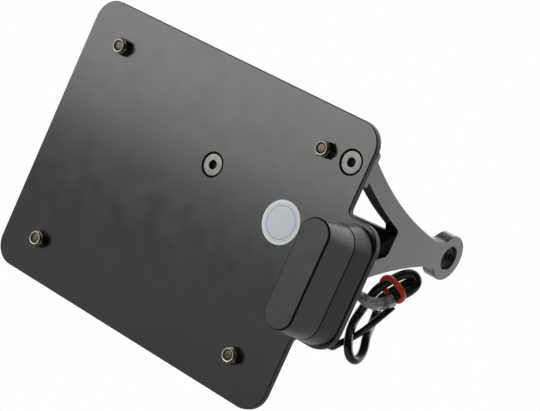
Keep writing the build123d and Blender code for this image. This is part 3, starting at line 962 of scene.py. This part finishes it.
class HOLDER_OT_plate_fasteners(bpy.types.Operator):
    """The four studs, lock nuts and nylon inserts for the number plate."""
    bl_idname = "holder.plate_fasteners"
    bl_label = "Studs and lock nuts"

    def execute(self, context):
        metals = context.scene.plate_holder_metal
        places = places_of(named("lock_nut", CORNERS), PLATE_FRONT)
        recess = socket_shade_material(metals)
        self.studs(metals, places, recess)
        self.nuts(metals, places)
        self.inserts(metals, places, recess)
        return {"FINISHED"}

    def studs(self, metals, places, recess):
        """Button heads behind the plate and threaded ends in front."""
        rings = (rounds((0.5, -5.1)) + hexagons((1.5, -5.1), (1.5, -6.5))
                 + rounds((1.95, -6.74), (2.7, -6.70), (3.5, -6.35), (4.2, -5.75), (4.6, -5.0),
                          (4.75, -4.3), (4.7, -4.0), (2.45, -4.0), (2.45, 0.0)))
        level, pitch, thread_end = 0.0, 0.8, 3.9
        while level < thread_end:
            rings += rounds((2.18, level + 0.25), (2.5, level + 0.65))
            level += pitch
        rings += rounds((2.15, 4.5), (1.75, 4.6), (0.9, 4.6))
        mesh = turned("plate_stud", rings, crease=28.0)
        brass = turned_metal("stud_brass", metals.stud, metals, lift=0.04)
        at_places("plate_studs", mesh, places, brass, recess, named("stud_screw", CORNERS),
                  seed=2)

    def nuts(self, metals, places):
        """Hexagon bodies with chamfered corners and a rolled collar."""
        rings = (rounds((2.56, 0.0))
                 + hexagons((4.0, 0.0), (4.0, 0.3), (4.0, 3.1), (4.0, 3.45),
                            caps=(4.28, 4.62, 4.62, 4.2))
                 + rounds((3.85, 3.62), (3.5, 3.72), (3.45, 4.0), (3.45, 4.8), (3.36, 5.05),
                          (3.16, 5.19), (2.96, 5.12), (2.90, 4.9), (2.98, 4.78), (2.98, 3.36),
                          (2.56, 3.36)))
        mesh = turned("lock_nut", rings, loop=True, accents=(8, 9, 10, 11), crease=28.0)
        body = turned_metal("nut_zinc", metals.nut, metals, lift=-0.04)
        # The rolled top of the collar takes the near-white metal as a painted highlight.
        lip_highlight = turned_metal("nut_lip_highlight", metals.lip_highlight, metals, lift=0.1)
        at_places("lock_nuts", mesh, places, body, lip_highlight, named("lock_nut", CORNERS),
                  seed=11)

    def inserts(self, metals, places, recess):
        """Nylon rings, crowned where the thread has pressed them."""
        rings = rounds((2.56, 3.36), (2.94, 3.36), (2.94, 4.70), (2.86, 4.75), (2.70, 4.70),
                       (2.58, 4.55))
        mesh = turned("nut_insert", rings, loop=True, crease=50.0)
        nylon = soft_rubber("insert_nylon", metals.insert, roughness=0.45, grain=0.4 * MM)
        at_places("nut_inserts", mesh, places, nylon, recess, named("nut_insert", CORNERS),
                  seed=5)


class HOLDER_OT_lamp_fasteners(bpy.types.Operator):
    """The lamp's button-head screws and washers behind the tab."""
    bl_idname = "holder.lamp_fasteners"
    bl_label = "Lamp screws and washers"

    def execute(self, context):
        metals = context.scene.plate_holder_metal
        ends = ("upper", "lower")
        places = places_of(named("lamp_screw", ends), PLATE_BACK)
        recess = socket_shade_material(metals)
        steel = turned_metal("lamp_screw_zinc", metals.nut, metals)
        rings = (rounds((1.7, 10.97), (2.0, 10.6), (2.0, -0.9), (3.85, -0.9), (3.9, -1.15),
                        (3.75, -1.9), (3.35, -2.55), (2.7, -3.05), (1.95, -3.28), (1.62, -3.3))
                 + hexagons((1.25, -3.08), (1.25, -2.0)) + rounds((0.4, -1.85)))
        # The key socket's faces are the accent and take the painted socket shade.
        screw = turned("lamp_screw", rings, accents=(9, 10, 11))
        at_places("lamp_screws", screw, places, steel, recess, named("lamp_screw", ends),
                  seed=3)
        washer = turned("lamp_washer", rounds((2.3, 0.0), (4.4, 0.0), (4.5, -0.12), (4.5, -0.78),
                                              (4.38, -0.9), (2.36, -0.9)), loop=True)
        at_places("lamp_washers", washer, places, steel, recess, named("lamp_washer", ends),
                  seed=6)
        return {"FINISHED"}


class HOLDER_OT_label(bpy.types.Operator):
    """The bare round label."""
    bl_idname = "holder.label"
    bl_label = "Round label"

    def execute(self, context):
        low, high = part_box("round_label")
        centre = middle("round_label")
        radius = (high.x - low.x) / 2 / MM
        thick = (high.y - low.y) / MM
        rings = rounds((radius, 0.0), (radius, thick * 0.6), (radius - 0.05, thick * 0.92),
                       (radius - 0.15, thick), (radius * 0.5, thick))
        mesh = turned("round_film", rings, count=96)
        for vertex in mesh.vertices:
            vertex.co += Vector((centre.x, high.y, centre.z))
        piece = add_piece("round_film", mesh)
        mesh.materials.append(round_film("label_film", context.scene.plate_holder_label, centre))
        settle(piece, ["round_label"])
        return {"FINISHED"}


class HOLDER_OT_grommet(bpy.types.Operator):
    """The rubber grommet and the leads' stretches inside it."""
    bl_idname = "holder.grommet"
    bl_label = "Grommet"

    def execute(self, context):
        leads = context.scene.plate_holder_leads
        rubber = soft_rubber("grommet_rubber", leads.rubber, roughness=0.55, grain=0.5 * MM)
        sleeve = lead_sleeve("inner_sleeve", leads.sleeve, leads.sleeve_roughness)
        dressed("lead_grommet", "tab_grommet", rubber)
        dressed("inner_lead", "lead_in_grommet", sleeve)
        dressed("inner_wire", "wire_in_grommet", sleeve)
        return {"FINISHED"}


class VIEW3D_PT_plate_holder(bpy.types.Panel):
    """Settings and steps of the plate holder."""
    bl_label = "Plate holder"
    bl_idname = "VIEW3D_PT_plate_holder"
    bl_space_type = "VIEW_3D"
    bl_region_type = "UI"
    bl_category = "Plate holder"

    def draw(self, context):
        for step in STEPS:
            self.layout.operator(step.bl_idname)
        for name, group in SETTINGS.items():
            box = self.layout.box()
            box.label(text=group.__doc__)
            values = getattr(context.scene, name)
            for key in group.__annotations__:
                box.prop(values, key)


STEPS = [HOLDER_OT_stage, HOLDER_OT_leads, HOLDER_OT_carrier, HOLDER_OT_arm, HOLDER_OT_lamp,
         HOLDER_OT_arm_screws, HOLDER_OT_plate_fasteners, HOLDER_OT_lamp_fasteners,
         HOLDER_OT_label, HOLDER_OT_grommet]


def register():
    for group in SETTINGS.values():
        bpy.utils.register_class(group)
    for name, group in SETTINGS.items():
        setattr(bpy.types.Scene, name, PointerProperty(type=group))
    for made in STEPS:
        bpy.utils.register_class(made)
    bpy.utils.register_class(VIEW3D_PT_plate_holder)


def unregister():
    bpy.utils.unregister_class(VIEW3D_PT_plate_holder)
    for made in reversed(STEPS):
        bpy.utils.unregister_class(made)
    for name in SETTINGS:
        delattr(bpy.types.Scene, name)
    for group in reversed(list(SETTINGS.values())):
        bpy.utils.unregister_class(group)


def plain(bounds):
    """Bounds as plain lists of numbers."""
    return [[float(value) for value in corner] for corner in bounds]


def main():
    register()
    bpy.context.scene.view_settings.view_transform = "Standard"
    for step in STEPS:
        group, name = step.bl_idname.split(".")
        getattr(getattr(bpy.ops, group), name)()


if __name__ == "__main__":
    main()
